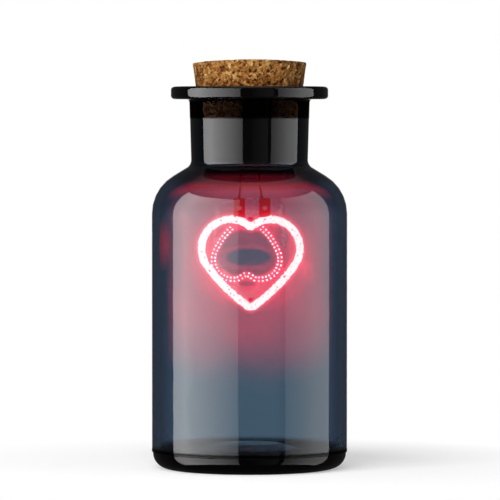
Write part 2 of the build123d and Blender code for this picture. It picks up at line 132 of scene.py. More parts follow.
# %% [markdown]
# Polished glass shows its surroundings, so what it mirrors matters more than the lamps. Real panels
# could stand round the bottle, but they would light it too and show through it. So the room is drawn
# in the world, for reflected rays alone: a wide panel on the left, a dimmer one on the right with a
# faint one beside it, a soft ceiling over a dark room, and a white card straight behind the bottle,
# which its edges mirror. The panels grow brighter towards the sides, which gives each streak its
# gradient, and the left one falls off again at its outer end. The camera, and whatever is seen
# through the glass, get plain white. A ray that the glass bends counts as glossy too, so transmitted
# rays are taken off the glossy ones.

# %% World
WHITE = (1, 1, 1, 1)
AMBIENT = 0.30
DARK_ROOM = 0.055
PANEL_HEIGHT = math.radians(40)
BRIGHT_ANGLE = math.radians(82)
FALL_ANGLE = math.radians(100)
# Side, first and last angle, level at the first and at BRIGHT_ANGLE, share left at FALL_ANGLE
PANELS = (
    (-1, 13.2, 101.6, 1.2, 5.4, 0.72),
    (1, 42.5, 107.5, 0.62, 2.05, 1.0),
    (1, 4.0, 36.0, 0.02, 0.30, 1.0),
)
CEILING_START = math.radians(44)
CEILING_END = math.radians(78)
CEILING = 0.45
CARD_START = 0.970
CARD_END = 0.985

world = bpy.data.worlds.new("studio")
world.use_nodes = True
scene.world = world
tree = world.node_tree
tree.nodes.clear()
path = add_node(tree, "ShaderNodeLightPath").outputs
direction = add_node(tree, "ShaderNodeTexCoord").outputs["Generated"]
axes = add_node(tree, "ShaderNodeSeparateXYZ", s0=direction).outputs
turn = math_node(tree, "ARCTAN2", axes["X"], math_node(tree, "MULTIPLY", axes["Y"], -1.0))
rise = math_node(tree, "ABSOLUTE", axes["Z"])


def panel(side, start, end, dim, bright, fall_to):
    """What one panel shows a reflected ray, by the ray's turn away from the camera's side."""
    angle = math_node(tree, "MULTIPLY", turn, side)
    level = stretched(tree, angle, math.radians(start), BRIGHT_ANGLE, dim, bright)
    fall = stretched(tree, angle, BRIGHT_ANGLE, FALL_ANGLE, 1.0, fall_to)
    after = math_node(tree, "GREATER_THAN", angle, math.radians(start))
    before = math_node(tree, "LESS_THAN", angle, math.radians(end))
    below = math_node(tree, "LESS_THAN", rise, math.sin(PANEL_HEIGHT))
    window = product(tree, after, before, below)
    return product(tree, product(tree, level, fall), window)


mirrored = DARK_ROOM
for settings in PANELS:
    mirrored = math_node(tree, "ADD", mirrored, panel(*settings))
ceiling = stretched(tree, axes["Z"], math.sin(CEILING_START), math.sin(CEILING_END), high=CEILING)
card = stretched(tree, axes["Y"], CARD_START, CARD_END)
mirrored = math_node(tree, "ADD", mirrored, math_node(tree, "ADD", ceiling, card))
seen = math_node(tree, "MAXIMUM", path["Is Camera Ray"], path["Is Transmission Ray"])
reflected = math_node(tree, "SUBTRACT", path["Is Glossy Ray"], path["Is Transmission Ray"])
gloss = math_node(tree, "MULTIPLY", reflected, mirrored)
matt = math_node(tree, "MULTIPLY", path["Is Diffuse Ray"], AMBIENT)
strength = math_node(tree, "MAXIMUM", seen, math_node(tree, "MAXIMUM", gloss, matt))
background = add_node(tree, "ShaderNodeBackground", Color=WHITE, Strength=strength)
add_node(tree, "ShaderNodeOutputWorld", Surface=background.outputs[0])
print("panels", len(PANELS))

# %% [markdown]
# What is matt, such as the cork, needs lamps. A small lamp or a sun would give it hard shadows, so
# these are two wide square ones. The left one does nearly all of the work, near the camera, because
# the photographed cork is lit from there. Glass and camera don't see them: the glass has its panels.

# %% Lamps
LAMP_DISTANCE = 1.0
LAMP_WIDTH = 1.2
LAMP_CENTRE_HEIGHT = 0.30
# Turn to the right of the camera in degrees, and power
LAMPS = {
    "lamp_left": (-24, 24.0),
    "lamp_right": (70, 1.0),
}

for name, (angle, power) in LAMPS.items():
    lamp = bpy.data.lights.new(name, "AREA")
    lamp.shape = "SQUARE"
    lamp.size = LAMP_WIDTH
    lamp.energy = power
    place = Matrix.Rotation(math.radians(angle), 3, "Z") @ Vector((0, -LAMP_DISTANCE, 0))
    place.z = LAMP_CENTRE_HEIGHT
    holder = bpy.data.objects.new(name, lamp)
    holder.visible_camera = False
    holder.visible_transmission = False
    holder.visible_glossy = False
    stand(holder, place, Vector((0, 0, AIM_HEIGHT)))
    print(name, "at", [round(value, 2) for value in place])

# %% [markdown]
# The floor of the photograph is white, with a faint shadow at the bottle's foot. A floor bright enough
# to clip would lose that shadow. So near the bottle it is a matt surface with a little light of its
# own, which takes the shadow, and further out it turns into plain white light. Mirrored rays pass it
# by, so the glass shows the drawn room instead. The floor has the first material, so the helpers that
# all of them share come before it.

# %% Material helpers


def new_material(name):
    """An empty node material and its tree."""
    material = bpy.data.materials.new(name)
    material.use_nodes = True
    material.node_tree.nodes.clear()
    return material, material.node_tree


def add_output(tree, surface, volume=None):
    """The material's output, with what it is given."""
    node = add_node(tree, "ShaderNodeOutputMaterial", Surface=surface)
    if volume:
        tree.links.new(volume, node.inputs["Volume"])


def object_place(tree):
    """Object coordinates, on which a pattern stays where it is on its piece."""
    return add_node(tree, "ShaderNodeTexCoord").outputs["Object"]


def length_of(tree, vector):
    """How long a vector is."""
    return add_node(tree, "ShaderNodeVectorMath", {"operation": "LENGTH"}, s0=vector).outputs["Value"]


def emission(tree, colour, strength):
    """Plain light."""
    return add_node(tree, "ShaderNodeEmission", Color=colour, Strength=strength).outputs[0]


def mixed(tree, share, first, second):
    """Two shaders, with a share of the second."""
    return add_node(tree, "ShaderNodeMixShader", s0=share, s1=first, s2=second).outputs[0]


# %% Floor
FLOOR_SIZE = 6.0
SHADOW_REACH = 0.16
FLOOR_COLOUR = (0.8, 0.8, 0.8, 1)
FLOOR_GLOW = 0.35

mesh = bmesh.new()
bmesh.ops.create_grid(mesh, x_segments=1, y_segments=1, size=FLOOR_SIZE / 2)
floor_mesh = bpy.data.meshes.new("floor")
mesh.to_mesh(floor_mesh)
mesh.free()
floor = bpy.data.objects.new("floor", floor_mesh)
scene.collection.objects.link(floor)

material, tree = new_material("pale_floor")
path = add_node(tree, "ShaderNodeLightPath").outputs
far = stretched(tree, length_of(tree, object_place(tree)), SHADOW_REACH / 2, SHADOW_REACH)
seen = math_node(tree, "MAXIMUM", path["Is Camera Ray"], path["Is Transmission Ray"])
matt = add_node(tree, "ShaderNodeBsdfDiffuse", Color=FLOOR_COLOUR).outputs[0]
lift = emission(tree, WHITE, FLOOR_GLOW)
shaded = add_node(tree, "ShaderNodeAddShader", s0=matt, s1=lift).outputs[0]
visible = mixed(tree, far, shaded, emission(tree, WHITE, 1.0))
add_output(tree, mixed(tree, seen, matt, visible))
floor_mesh.materials.append(material)
floor.visible_glossy = False
print("floor", FLOOR_SIZE, "m wide")

# %% [markdown]
# The bottle and the cork are turned shapes. A lathe modifier could make them, or rings joined one by
# one. Here bmesh's spin sweeps an outline about the Z axis, because it gives a closed skin in one
# step. The outline is a chain of edges through a few corners, each rounded to an arc of its own
# radius. Where the skin is to be worked on, long edges are subdivided first.

# %% Turning helpers
TURN_STEPS = 160
TURN_MERGE = 1e-6
ARC_SEGMENTS = 8


def add_piece(name, mesh, material, body, replaced=()):
    """A finished bmesh becomes an object that rides on a body and may stand for CAD nodes."""
    data = bpy.data.meshes.new(name)
    mesh.to_mesh(data)
    mesh.free()
    data.materials.append(material)
    piece = bpy.data.objects.new(name, data)
    scene.collection.objects.link(piece)
    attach(piece, body)
    if replaced:
        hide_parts(*replaced)
    print(name, "faces", len(data.polygons))


def shade_smooth(mesh):
    """Every face is shaded smooth."""
    for face in mesh.faces:
        face.smooth = True


def rounded_points(corners, closed=False):
    """Points through corners given as (x, height, rounding), each corner rounded to its arc."""
    points = [Vector((radius, 0, height)) for radius, height, rounding in corners]
    roundings = [rounding for radius, height, rounding in corners]
    outline = []
    for index, point in enumerate(points):
        inner = closed or 0 < index < len(points) - 1
        if not inner or not roundings[index]:
            outline.append(point)
            continue
        before = (points[index - 1] - point).normalized()
        after = (points[(index + 1) % len(points)] - point).normalized()
        half = before.angle(after) / 2
        reach = roundings[index] / math.tan(half)
        centre = point + (before + after).normalized() * roundings[index] / math.sin(half)
        first = (point + before * reach - centre).normalized()
        last = (point + after * reach - centre).normalized()
        steps = max(2, round(ARC_SEGMENTS * first.angle(last) / (math.pi / 2)))
        for step in range(steps + 1):
            outline.append(centre + first.slerp(last, step / steps) * roundings[index])
    return outline


def turned(corners, steps=TURN_STEPS, closed=False, cell=None):
    """A closed skin turned about Z. With a cell, longer edges of the outline are cut down to it."""
    mesh = bmesh.new()
    verts = [mesh.verts.new(point) for point in rounded_points(corners, closed)]
    chain = [mesh.edges.new(pair) for pair in zip(verts, verts[1:])]
    if closed:
        chain.append(mesh.edges.new((verts[-1], verts[0])))
    for edge in chain:
        cuts = int(edge.calc_length() / cell) if cell else 0
        if cuts:
            bmesh.ops.subdivide_edges(mesh, edges=[edge], cuts=cuts)
    bmesh.ops.spin(
        mesh,
        geom=mesh.verts[:] + mesh.edges[:],
        cent=(0, 0, 0),
        axis=(0, 0, 1),
        angle=math.tau,
        steps=steps,
        use_merge=True,
    )
    bmesh.ops.remove_doubles(mesh, verts=mesh.verts, dist=TURN_MERGE)
    bmesh.ops.recalc_face_normals(mesh, faces=mesh.faces)
    shade_smooth(mesh)
    return mesh


# %% [markdown]
# The bottle is blown glass with a wall of about 3 mm. A thin shell with a tint would be quicker to
# render, but the photograph shows how the thick base and shoulder bend what is behind them. So the
# bottle is one skin, inside and outside, and light bends through it and darkens with the length of
# its path, as in smoked glass. The outline repeats the CAD's sizes.

# %% Bottle sizes
bottle_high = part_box("glass_bottle")[1]
BOTTLE_HEIGHT = bottle_high[2]
BODY_RADIUS = bottle_high[0]
BODY_WALL = 0.0030
LIP_RADIUS = 0.0330
LIP_THICKNESS = 0.0054
LIP_ROUNDING = 0.0015
LIP_UNDER_ROUNDING = 0.0014
MOUTH_ROUNDING = 0.0008
NECK_TOP_RADIUS = 0.0252
NECK_BOTTOM_RADIUS = 0.02445
NECK_BOTTOM = BOTTLE_HEIGHT - 0.0327
NECK_ROUNDING = 0.0034
SHOULDER_SLOPE = math.radians(31)
SHOULDER_RADIUS = 0.0186
BORE_RADIUS = 0.0206
BORE_TOP_ROUNDING = 0.001
BORE_FOOT_ROUNDING = 0.004
BASE_STEP = 0.0004
BASE_STEP_HEIGHT = 0.0071
BASE_STEP_ROUNDING = 0.0002
BASE_ROUNDING = 0.0067
FOOT_WIDTH = 0.005
FOOT_ROUNDING = 0.0015
PUNT_DEPTH = 0.005
PUNT_ROUNDING = 0.009
FLOOR_THICKNESS = 0.0070
FLOOR_ROUNDING = 0.0025
HUMP_RADIUS = 0.025
HUMP_RISE = 0.0036
HUMP_ROUNDING = 0.009
CORK_TOP = BOTTLE_HEIGHT + 0.010
CORK_BOTTOM = CORK_TOP - 0.0231
CORK_TOP_RADIUS = 0.02375
CORK_BOTTOM_RADIUS = 0.0209
CORK_FIT = 0.00025
print("bottle", round(BOTTLE_HEIGHT, 4), "high, radius", round(BODY_RADIUS, 4))

# %% Bottle outline


def cork_radius(height):
    """Radius of the cork's cone at a height."""
    share = (height - CORK_BOTTOM) / (CORK_TOP - CORK_BOTTOM)
    return CORK_BOTTOM_RADIUS + share * (CORK_TOP_RADIUS - CORK_BOTTOM_RADIUS)


step_radius = BODY_RADIUS - BASE_STEP
slope = math.tan(SHOULDER_SLOPE)
inner_radius = BODY_RADIUS - BODY_WALL
inner_line = NECK_BOTTOM + NECK_BOTTOM_RADIUS * slope - BODY_WALL / math.cos(SHOULDER_SLOPE)
foot_inner = step_radius - BASE_ROUNDING - FOOT_WIDTH
lip_bottom = BOTTLE_HEIGHT - LIP_THICKNESS
bottle_corners = (
    (0, PUNT_DEPTH, 0),
    (foot_inner / 2, PUNT_DEPTH, PUNT_ROUNDING),
    (foot_inner, 0, FOOT_ROUNDING),
    (step_radius, 0, BASE_ROUNDING),
    (step_radius, BASE_STEP_HEIGHT, BASE_STEP_ROUNDING),
    (BODY_RADIUS, BASE_STEP_HEIGHT, BASE_STEP_ROUNDING),
    (BODY_RADIUS, NECK_BOTTOM - (BODY_RADIUS - NECK_BOTTOM_RADIUS) * slope, SHOULDER_RADIUS),
    (NECK_BOTTOM_RADIUS, NECK_BOTTOM, NECK_ROUNDING),
    (NECK_TOP_RADIUS, lip_bottom, LIP_UNDER_ROUNDING),
    (LIP_RADIUS, lip_bottom, LIP_ROUNDING),
    (LIP_RADIUS, BOTTLE_HEIGHT, LIP_ROUNDING),
    (cork_radius(BOTTLE_HEIGHT) + CORK_FIT, BOTTLE_HEIGHT, MOUTH_ROUNDING),
    (cork_radius(CORK_BOTTOM) + CORK_FIT, CORK_BOTTOM, BORE_TOP_ROUNDING),
    (BORE_RADIUS, inner_line - BORE_RADIUS * slope, BORE_FOOT_ROUNDING),
    (inner_radius, inner_line - inner_radius * slope, SHOULDER_RADIUS - BODY_WALL),
    (inner_radius, FLOOR_THICKNESS, FLOOR_ROUNDING),
    (HUMP_RADIUS, FLOOR_THICKNESS, HUMP_ROUNDING),
    (HUMP_RADIUS / 2, FLOOR_THICKNESS + HUMP_RISE, HUMP_ROUNDING),
    (0, FLOOR_THICKNESS + HUMP_RISE, 0),
)
print("bottle corners", len(bottle_corners), "inner radius", round(inner_radius, 4))

# %% [markdown]
# Smoked glass is a surface that bends and mirrors light, round a volume that absorbs it. Absorption
# alone would do for an even glass, and it is weaker in blue than in red, so thin walls look slate blue
# and thick ones black. But the neck, lip and foot of the real bottle are nearly opaque. So there each
# crossing of the surface takes more light as well, by Object height. A wall that is seen on edge takes
# a little more too, above all of the green, as the photographed sides show.

# %% Colour by height
BAND_TOP = 0.175


def vector_node(tree, operation, first, second):
    """One sum on two vectors or colours."""
    node = add_node(tree, "ShaderNodeVectorMath", {"operation": operation}, s0=first, s1=second)
    return node.outputs[0]


def add_ramp(tree, factor, stops):
    """A colour ramp over a factor. Each stop is (place, red, green, blue)."""
    node = add_node(tree, "ShaderNodeValToRGB", s0=factor)
    elements = node.color_ramp.elements
    while len(elements) < len(stops):
        elements.new(0.5)
    for element, (place, *colour) in zip(elements, stops):
        element.position = place
        element.color = (*colour, 1)
    return node.outputs["Color"]


def grey_ramp(tree, factor, stops):
    """A ramp of plain levels over a factor. Each stop is (place, level)."""
    return add_ramp(tree, factor, [(place, level, level, level) for place, level in stops])


def height_bands(tree, bands):
    """A colour ramp over Object height. Each band is (height, red, green, blue)."""
    height = add_node(tree, "ShaderNodeSeparateXYZ", s0=object_place(tree)).outputs["Z"]
    stops = [(band_height / BAND_TOP, *colour) for band_height, *colour in bands]
    return add_ramp(tree, math_node(tree, "DIVIDE", height, BAND_TOP), stops)


def grey_bands(tree, bands):
    """Plain levels over Object height. Each band is (height, level)."""
    return height_bands(tree, [(height, level, level, level) for height, level in bands])


# %% Tint of the glass
CLEAR = (1.0, 1.0, 1.0)
NECK_TINT = (0.27, 0.25, 0.26)
TINT_BANDS = (
    (0.0060, 0.16, 0.16, 0.16),
    (0.0086, 0.36, 0.36, 0.38),
    (0.0104, *CLEAR),
    (0.1060, *CLEAR),
    (0.1110, 0.90, 0.88, 0.90),
    (0.1195, 0.88, 0.87, 0.89),
    (0.1214, 0.64, 0.63, 0.64),
    (0.1230, 0.34, 0.34, 0.34),
    (0.1242, 0.25, 0.25, 0.25),
    (0.1255, 0.24, 0.24, 0.25),
    (0.1263, 0.72, 0.76, 0.86),
    (0.1274, 0.72, 0.76, 0.86),
    (0.1288, *NECK_TINT),
)
EDGE_STOPS = (
    (0.38, *CLEAR),
    (0.48, 1.0, 0.95, 0.98),
    (0.55, 1.0, 0.84, 0.87),
    (0.66, 0.95, 0.76, 0.80),
    (1.0, 0.90, 0.68, 0.74),
)

material, tree = new_material("smoked_glass")
facing = add_node(tree, "ShaderNodeLayerWeight", Blend=0.5).outputs["Facing"]
tint = vector_node(tree, "MULTIPLY", height_bands(tree, TINT_BANDS), add_ramp(tree, facing, EDGE_STOPS))
print("tint bands", len(TINT_BANDS))

# %% [markdown]
# What the glass mirrors is toned by height too, as painted reflection. In front of the cork the
# streaks take on its brown and its grain: a painted image of the cork that stands behind the dark
# neck. The neck's reflections are painted a little dimmer, the foot's more, and at the step above the
# foot a painted dark line runs round the bottle. A second material on the neck would show a seam, so
# one material changes with height. The grain is raised to a power that is one in front of the cork
# and nearly nothing elsewhere, which leaves the other streaks even.

# %% Grain helpers


def noise_at(tree, place, scale, detail):
    """Noise, which keeps near a half."""
    return add_node(tree, "ShaderNodeTexNoise", Vector=place, Scale=scale, Detail=detail).outputs["Fac"]


def scaled(tree, vector, factor):
    """A vector or a colour times a number."""
    return add_node(tree, "ShaderNodeVectorMath", {"operation": "SCALE"}, s0=vector, Scale=factor).outputs[0]


# %% Reflections of the glass
# The neck's reflections are painted a little dimmer.
NECK_SHEEN = (0.93, 0.93, 0.93)
# Painted reflection: the cork's brown, as if the cork showed in the streaks in front of it.
PAINTED_CORK_SHEEN = (0.095, 0.050, 0.024)
# Painted darkening of the reflections: dimmer over the foot, and a dark line at the step above it.
PAINTED_FOOT_SHEEN = (0.62, 0.62, 0.62)
PAINTED_STEP_LINE = (0.12, 0.12, 0.12)
LINE_LOW = 0.0073
LINE_HIGH = 0.0085
LINE_SOFTNESS = 0.0003
CORK_SHEEN_LOW = CORK_BOTTOM - 0.0003
CORK_SHEEN_START = CORK_BOTTOM + 0.0001
CORK_SHEEN_END = lip_bottom - 0.0008
CORK_SHEEN_HIGH = lip_bottom + 0.0002
NECK_SHEEN_START = NECK_BOTTOM + 0.001
SHEEN_GRAIN = 620.0
SHEEN_GRAIN_RANGE = (0.36, 0.64, 0.35, 1.6)
NO_GRAIN = 0.02

# The cork's grain, painted into the reflections in front of the cork.
grain = noise_at(tree, object_place(tree), SHEEN_GRAIN, detail=3.0)
grain = stretched(tree, grain, *SHEEN_GRAIN_RANGE)
grain_power = grey_bands(
    tree,
    (
        (CORK_SHEEN_LOW, NO_GRAIN),
        (CORK_SHEEN_START, 1.0),
        (CORK_SHEEN_END, 1.0),
        (CORK_SHEEN_HIGH, NO_GRAIN),
    ),
)
grain = math_node(tree, "POWER", grain, grain_power)
sheen = height_bands(
    tree,
    (
        (LINE_LOW, *PAINTED_FOOT_SHEEN),
        (LINE_LOW + LINE_SOFTNESS, *PAINTED_STEP_LINE),
        (LINE_HIGH, *PAINTED_STEP_LINE),
        (LINE_HIGH + LINE_SOFTNESS, *CLEAR),
        (NECK_BOTTOM, *CLEAR),
        (NECK_SHEEN_START, *NECK_SHEEN),
        (CORK_SHEEN_LOW, *NECK_SHEEN),
        (CORK_SHEEN_START, *PAINTED_CORK_SHEEN),
        (CORK_SHEEN_END, *PAINTED_CORK_SHEEN),
        (CORK_SHEEN_HIGH, *CLEAR),
    ),
)
sheen = vector_node(tree, "MINIMUM", scaled(tree, sheen, grain), CLEAR)
print("sheen of the cork from", round(CORK_SHEEN_START, 4), "to", round(CORK_SHEEN_END, 4))

# %% Smoked glass
ABSORPTION_PER_METRE = 489.0
ABSORPTION_COLOUR = (0.0, 0.21, 0.34, 1)
GLASS_IOR = 1.5
SHADOW_COLOUR = (0.92, 0.92, 0.92, 1)

path = add_node(tree, "ShaderNodeLightPath").outputs
bend = add_node(tree, "ShaderNodeBsdfRefraction", Color=tint, Roughness=0.0, IOR=GLASS_IOR).outputs[0]
mirror = add_node(tree, "ShaderNodeBsdfAnisotropic", Color=sheen, Roughness=0.0).outputs[0]
share = add_node(tree, "ShaderNodeFresnel", IOR=GLASS_IOR).outputs[0]
in_shadow = add_node(tree, "ShaderNodeBsdfTransparent", Color=SHADOW_COLOUR).outputs[0]
surface = mixed(tree, path["Is Shadow Ray"], mixed(tree, share, bend, mirror), in_shadow)
volume = add_node(
    tree, "ShaderNodeVolumeAbsorption", Color=ABSORPTION_COLOUR, Density=ABSORPTION_PER_METRE
).outputs[0]
add_output(tree, surface, volume)
add_piece("bottle_glass", turned(bottle_corners), material, "bottle", ["glass_bottle"])

# %% [markdown]
# The air in the bottle glows red round the heart. Fog would take long to render, so closed skins
# stand for it. A skin only adds light, and by Layer Weight it adds less where it is seen on edge, as
# a body of lit air does near its own edge. Patches of glow are ellipsoids on Object coordinates.

# %% Helpers for lit air
AIR_COLOUR = (1.0, 0.0, 0.015, 1)
SMOKE_LOW = 0.32
SMOKE_HIGH = 0.68


def only_adds_light(material, tree, colour, strength):
    """The surface lets everything through and adds a glow. It isn't sampled as a lamp."""
    clear = add_node(tree, "ShaderNodeBsdfTransparent").outputs[0]
    glow = emission(tree, colour, strength)
    add_output(tree, add_node(tree, "ShaderNodeAddShader", s0=clear, s1=glow).outputs[0])
    material.cycles.emission_sampling = "NONE"


def reach_from(tree, place, centre, size):
    """How far a place is from a centre, in units of an ellipsoid's half sizes."""
    shifted = vector_node(tree, "SUBTRACT", place, centre)
    return length_of(tree, vector_node(tree, "DIVIDE", shifted, size))


def head_on(tree, power=1.0):
    """One where a surface is seen head-on, nothing where it is seen on edge."""
    facing = add_node(tree, "ShaderNodeLayerWeight", Blend=0.5).outputs["Facing"]
    return math_node(tree, "POWER", math_node(tree, "SUBTRACT", 1.0, facing), power)


def smoke(tree, place, scale, low, high):
    """Slow uneven noise between two levels."""
    return stretched(tree, noise_at(tree, place, scale, detail=2.5), SMOKE_LOW, SMOKE_HIGH, low, high)


# %% [markdown]
# A wide turned skin just inside the bottle holds the glow that fills it. One even strength would be
# simpler, but in the photograph the glow gathers in places. So its strength follows height: none near
# the floor, more beside the heart, and most in the dome under the shoulder, which is also lit further
# out to its sides. It is uneven like smoke, and a hole is left round the heart for a finer haze. Two
# small patches of glow are added: one at the left wall, painted where the wall's edge bends the
# heart's light, and a speckled one to the right of the heart, a painted highlight of a faint
# reflection.

# %% Glowing air
AIR_RADIUS = 0.0378
AIR_LOW = 0.030
AIR_HIGH = 0.1235
AIR_GAP = 0.0006
AIR_BOTTOM_ROUNDING = 0.020
AIR_CORNER = 0.0150
AIR_TOP_ROUNDING = 0.002
AIR_STRENGTH = 2.0
AIR_POWER = 0.45
AIR_SMOKE = (55.0, 0.68, 1.25)
FADE_BANDS = (
    (AIR_LOW, 0.0),
    (0.038, 0.02),
    (0.044, 0.11),
    (0.052, 0.24),
    (0.062, 0.40),
    (0.076, 0.46),
    (0.100, 0.38),
    (0.108, 0.30),
    (0.1125, 0.33),
    (0.1160, 0.46),
    (0.1190, 0.74),
    (0.1210, 0.64),
    (0.1226, 0.0),
)
MIDDLE_STOPS = ((0.38, 0.0), (0.64, 1.0))
DOME_STOPS = ((0.03, 0.0), (0.28, 1.0))
DOME_BANDS = ((0.1125, 0.0), (0.1165, 1.0))
SIDE_STOPS = ((0.02, 0.45), (0.20, 0.85), (0.38, 1.0), (0.64, 0.0))
# A patch of glow at the left wall, painted where the wall's edge bends the heart's light.
PATCH_CENTRE = (-0.0372, 0, 0.0938)
PATCH_SIZE = (0.0085, 1.0, 0.0115)
PATCH_STOPS = ((0.1, 0.72), (1.0, 0.0))
# A painted highlight: a speckled spot of red glow to the right of the heart, where a faint reflection shows.
HIGHLIGHT_GLOW_CENTRE = (0.0236, 0, 0.0832)
HIGHLIGHT_GLOW_SIZE = (0.0052, 1.0, 0.0058)
HIGHLIGHT_GLOW_STOPS = ((0.35, 0.34), (1.0, 0.0))
HIGHLIGHT_GLOW_SMOKE = (420.0, 0.1, 1.5)
HAZE_CENTRE = (0.0005, 0, 0.0885)
HAZE_HOLE = (0.024, 1.0, 0.020)
HOLE_STOPS = ((0.25, 0.06), (0.58, 1.0))
RAMP_REACH = 2.0

material, tree = new_material("glowing_air")
place = object_place(tree)
facing = head_on(tree)
dome = math_node(tree, "MULTIPLY", grey_ramp(tree, facing, DOME_STOPS), grey_bands(tree, DOME_BANDS))
middle = math_node(tree, "MAXIMUM", grey_ramp(tree, facing, MIDDLE_STOPS), dome)
fade = math_node(tree, "MULTIPLY", grey_bands(tree, FADE_BANDS), middle)
patch = grey_ramp(tree, reach_from(tree, place, PATCH_CENTRE, PATCH_SIZE), PATCH_STOPS)
patch = math_node(tree, "MULTIPLY", patch, grey_ramp(tree, facing, SIDE_STOPS))
# The painted highlight of a faint reflection, speckled by noise.
highlight_glow = grey_ramp(tree, reach_from(tree, place, HIGHLIGHT_GLOW_CENTRE, HIGHLIGHT_GLOW_SIZE), HIGHLIGHT_GLOW_STOPS)
highlight_glow = math_node(tree, "MULTIPLY", highlight_glow, smoke(tree, place, *HIGHLIGHT_GLOW_SMOKE))
hole_reach = math_node(tree, "DIVIDE", reach_from(tree, place, HAZE_CENTRE, HAZE_HOLE), RAMP_REACH)
level = product(
    tree,
    math_node(tree, "ADD", highlight_glow, math_node(tree, "MAXIMUM", fade, patch)),
    smoke(tree, place, *AIR_SMOKE),
    grey_ramp(tree, hole_reach, HOLE_STOPS),
    head_on(tree, AIR_POWER),
    AIR_STRENGTH,
)
only_adds_light(material, tree, AIR_COLOUR, level)
air_corners = (
    (0, AIR_LOW, 0),
    (AIR_RADIUS, AIR_LOW, AIR_BOTTOM_ROUNDING),
    (AIR_RADIUS, inner_line - AIR_RADIUS * slope - AIR_GAP, AIR_CORNER),
    (BORE_RADIUS - AIR_GAP, AIR_HIGH, AIR_TOP_ROUNDING),
    (0, AIR_HIGH, 0),
)
add_piece("glowing_air", turned(air_corners), material, "bottle")

# %% [markdown]
# Close to the heart the glow has more shape: a grey space inside the small loop, and a lens of clear,
# dark air in its middle with a redder ring round it. Small darker shades lie beside and below the
# loop. More noise in the wide skin could not place them, so this part of the haze is a flat pill of
# its own in the heart's plane, which fills the hole left in the wide skin.

# %% Haze near the heart
PILL_RADIUS = 0.0300
PILL_HALF_DEPTH = 0.0050
PILL_ROUNDING = PILL_HALF_DEPTH * 0.9
PILL_STEPS = 64
PILL_SQUEEZE = 0.84
PILL_DEPTH_PLACE = 0.0015
PILL_STRENGTH = 1.6
PILL_SMOKE = (160.0, 0.78, 1.18)
RIM_STOPS = ((0.30, 1.0), (0.60, 0.0))
SPACE_CENTRE = (-0.0011, 0, 0.0900)
SPACE_SIZE = (0.0146, 1.0, 0.0108)
SPACE_STOPS = ((0.86, 0.26), (0.98, 1.0))
LENS_CENTRE = (-0.0004, 0, 0.0884)
LENS_SIZE = (0.0103, 1.0, 0.0040)
LENS_STOPS = ((0.40, 0.06), (0.53, 1.0))
RING_STOPS = ((0.50, 0.40), (0.62, 0.40), (0.86, 0.0))
SHADE_START = 0.55
# Centre, half sizes and level of each darker shade
SHADES = (
    ((0.0138, 0, 0.0972), (0.0040, 1.0, 0.0058), 0.45),
    ((0.0146, 0, 0.0910), (0.0026, 1.0, 0.0070), 0.55),
    ((-0.0008, 0, 0.0773), (0.0042, 1.0, 0.0013), 0.45),
)

material, tree = new_material("heart_haze")
place = object_place(tree)
rim_reach = math_node(tree, "DIVIDE", reach_from(tree, place, HAZE_CENTRE, HAZE_HOLE), RAMP_REACH)
space = grey_ramp(tree, reach_from(tree, place, SPACE_CENTRE, SPACE_SIZE), SPACE_STOPS)
lens_reach = math_node(tree, "DIVIDE", reach_from(tree, place, LENS_CENTRE, LENS_SIZE), RAMP_REACH)
shades = [
    grey_ramp(tree, reach_from(tree, place, centre, size), ((SHADE_START, level), (1.0, 1.0)))
    for centre, size, level in SHADES
]
level = product(
    tree,
    grey_ramp(tree, rim_reach, RIM_STOPS),
    math_node(tree, "MAXIMUM", space, grey_ramp(tree, lens_reach, RING_STOPS)),
    grey_ramp(tree, lens_reach, LENS_STOPS),
    *shades,
    smoke(tree, place, *PILL_SMOKE),
    head_on(tree),
    PILL_STRENGTH,
)
only_adds_light(material, tree, AIR_COLOUR, level)
pill = turned(
    (
        (0, -PILL_HALF_DEPTH, 0),
        (PILL_RADIUS, -PILL_HALF_DEPTH, PILL_ROUNDING),
        (PILL_RADIUS, PILL_HALF_DEPTH, PILL_ROUNDING),
        (0, PILL_HALF_DEPTH, 0),
    ),
    steps=PILL_STEPS,
)
bmesh.ops.rotate(pill, verts=pill.verts, cent=(0, 0, 0), matrix=Matrix.Rotation(math.pi / 2, 3, "X"))
bmesh.ops.scale(pill, verts=pill.verts, vec=(1, 1, PILL_SQUEEZE))
bmesh.ops.translate(pill, verts=pill.verts, vec=(HAZE_CENTRE[0], PILL_DEPTH_PLACE, HAZE_CENTRE[2]))
add_piece("heart_haze", pill, material, "stopper")

# %% [markdown]
# The heart is two round lobes and two gently bowed flanks. A hand-drawn curve could follow the
# photograph, but would drift from the CAD. So its centreline is worked out from the same few sizes as
# there: a lobe's arc runs over without a kink into the flank's wider arc.

# %% Heart centreline
HEART_SHIFT = 0.0005
LOBE_RADIUS = 0.0122
LOBE_OFFSET = 0.0084
LOBE_HEIGHT = 0.0921
FLANK_RADIUS = 0.070
TIP_HEIGHT = 0.0672
PATH_STEP = 0.0006


def arc_points(centre, radius, start, end):
    """Points along an arc in the XZ plane, evenly spaced."""
    count = max(2, round(abs(end - start) * radius / PATH_STEP))
    angles = [start + (end - start) * index / count for index in range(count + 1)]
    return [centre + radius * Vector((math.cos(angle), 0, math.sin(angle))) for angle in angles]


def lobe_and_flank(centre, radius, flank_radius, far_end, lobe_end):
    """Points from the flank's far end to the lobe's end, along two arcs that meet without a kink."""
    reach = centre - far_end
    wider = flank_radius - radius
    cosine = (reach.length**2 + wider**2 - flank_radius**2) / (2 * wider * reach.length)
    joint = math.atan2(reach.z, reach.x) + math.copysign(math.acos(cosine), -reach.z)
    flank_centre = centre - wider * Vector((math.cos(joint), 0, math.sin(joint)))
    start = math.atan2(far_end.z - flank_centre.z, far_end.x - flank_centre.x)
    flank = arc_points(flank_centre, flank_radius, start, joint)
    return flank[:-1] + arc_points(centre, radius, joint, lobe_end)


